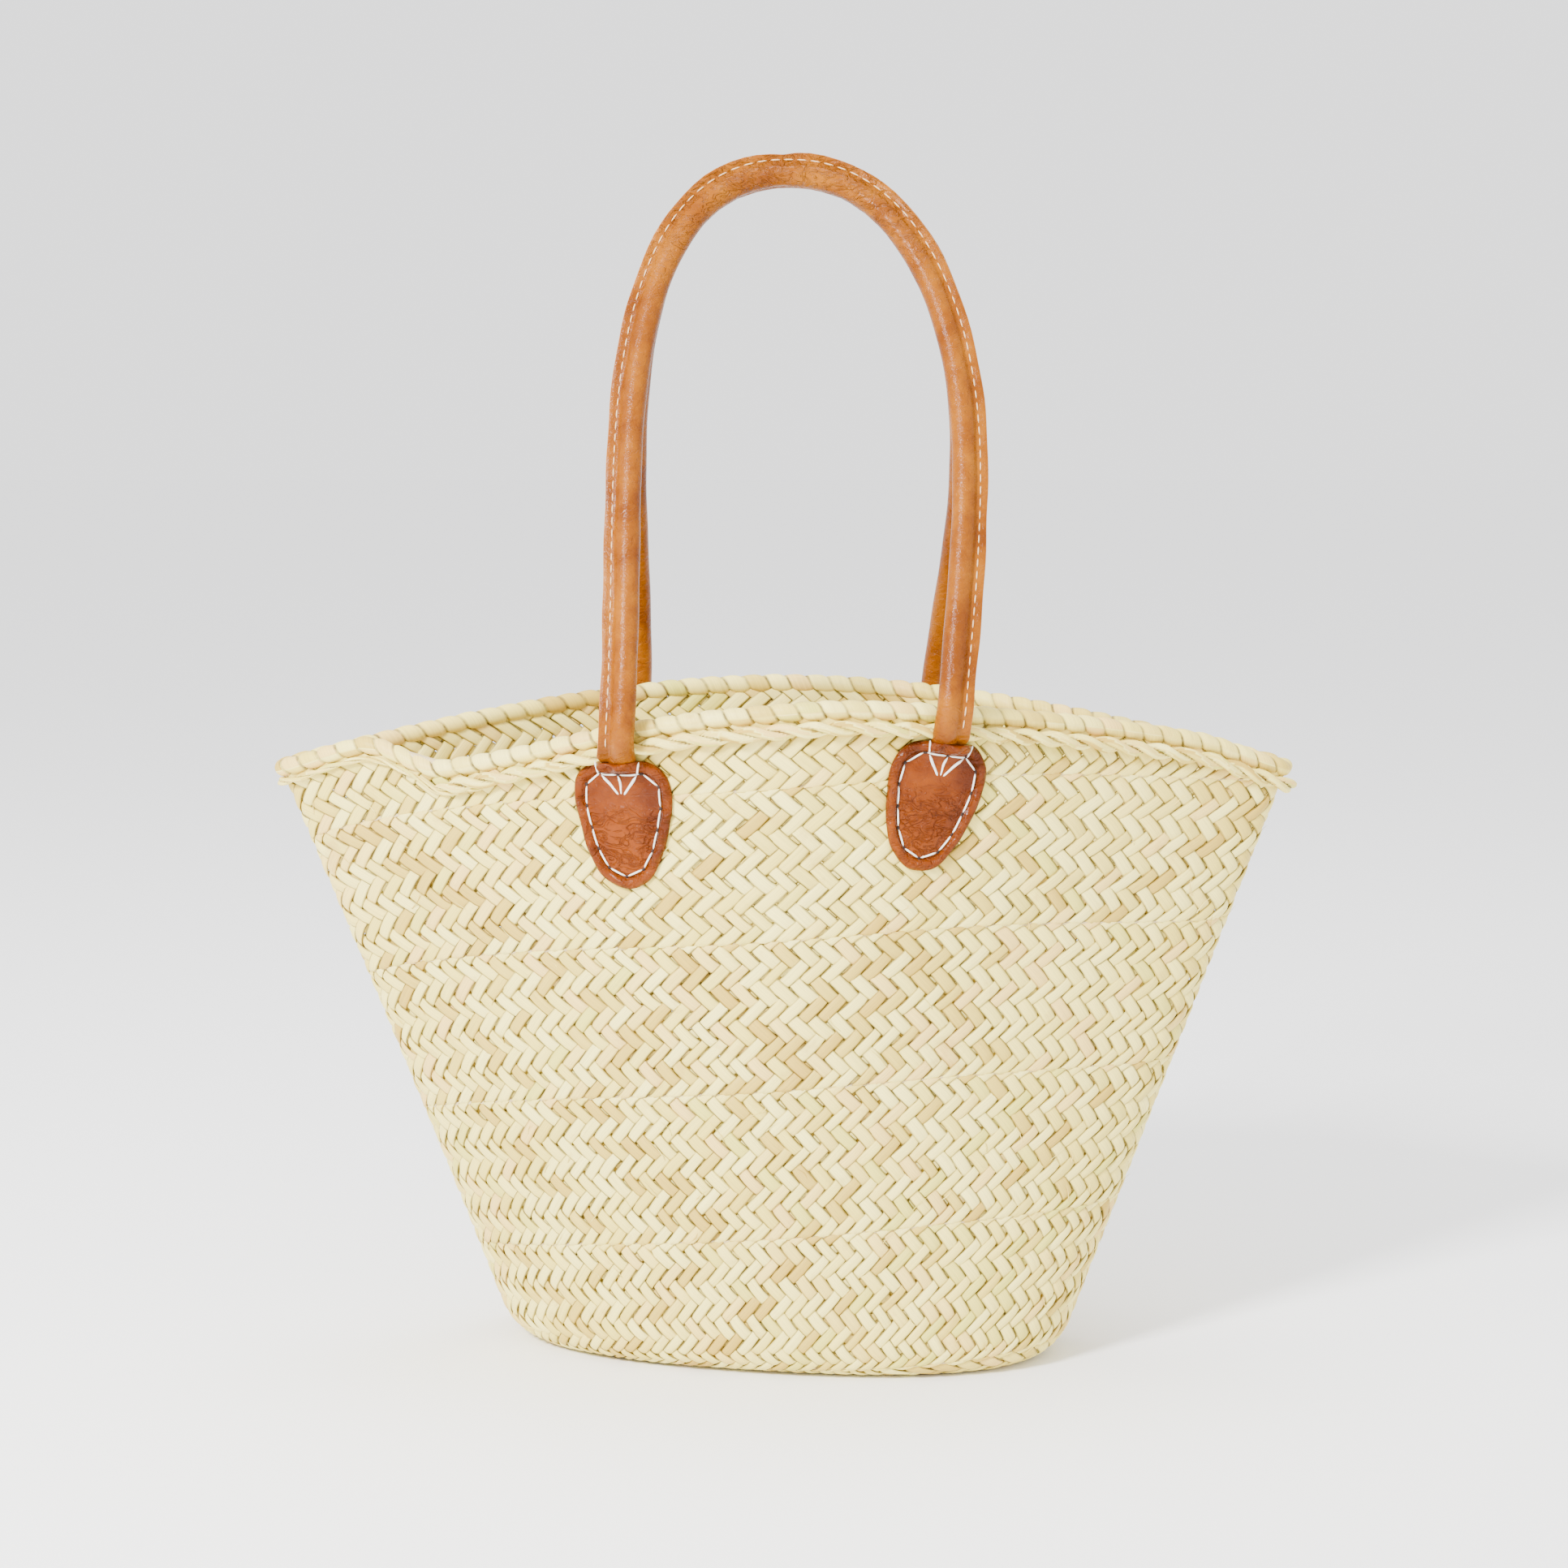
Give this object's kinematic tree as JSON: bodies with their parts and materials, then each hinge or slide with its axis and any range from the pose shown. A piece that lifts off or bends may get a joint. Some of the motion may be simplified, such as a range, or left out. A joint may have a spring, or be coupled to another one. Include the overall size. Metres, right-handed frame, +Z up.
{
  "type": "woven market basket",
  "caption": "Tapered palm-leaf market basket with an oval floor, a leaf-wrapped rim and rolled leather shoulder handles fixed by sewn leather patches.",
  "frame": {"origin": "under the middle of the floor, on the surface the basket stands on", "axes": "+X along the mouth, +Y from the front to the back, +Z up"},
  "size_m": [0.5214, 0.2276, 0.607],
  "materials": {
    "palm_leaf": "satin",
    "palm_cord": "matte",
    "tan_leather": "semi-gloss",
    "waxed_thread": "matte"
  },
  "bodies": {
    "basket": {"plait_turn_1": "palm_leaf", "plait_turn_2": "palm_leaf", "plait_turn_3": "palm_leaf", "plait_turn_4": "palm_leaf", "plait_turn_5": "palm_leaf", "plait_turn_6": "palm_leaf", "plait_turn_7": "palm_leaf", "seam_cord_2": "palm_cord", "seam_cord_3": "palm_cord", "seam_cord_4": "palm_cord", "seam_cord_5": "palm_cord", "seam_cord_6": "palm_cord", "seam_cord_7": "palm_cord", "seam_cord_floor_middle": "palm_cord", "rim_core": "palm_cord", "rim_wrap": "palm_leaf", "rim_rope": "palm_leaf", "front_left_patch": "tan_leather", "front_left_inner_patch": "tan_leather", "front_left_patch_stitching": "waxed_thread", "front_left_handle_end": "tan_leather", "front_right_patch": "tan_leather", "front_right_inner_patch": "tan_leather", "front_right_patch_stitching": "waxed_thread", "front_right_handle_end": "tan_leather", "back_left_patch": "tan_leather", "back_left_inner_patch": "tan_leather", "back_left_patch_stitching": "waxed_thread", "back_left_handle_end": "tan_leather", "back_right_patch": "tan_leather", "back_right_inner_patch": "tan_leather", "back_right_patch_stitching": "waxed_thread", "back_right_handle_end": "tan_leather"},
    "front_handle": {"front_handle_cover": "tan_leather", "front_handle_core": "palm_cord", "front_handle_seam_thread": "waxed_thread"},
    "back_handle": {"back_handle_cover": "tan_leather", "back_handle_core": "palm_cord", "back_handle_seam_thread": "waxed_thread"}
  },
  "joints": [
    {"name": "front_handle_fold", "type": "hinge", "parent": "basket", "child": "front_handle", "pos_m": [0, -0.10665, 0.31996], "axis": [1, 0, 0], "range_deg": [0, 180]},
    {"name": "back_handle_fold", "type": "hinge", "parent": "basket", "child": "back_handle", "pos_m": [0, 0.10663, 0.31453], "axis": [-1, 0, 0], "range_deg": [0, 180]}
  ]
}
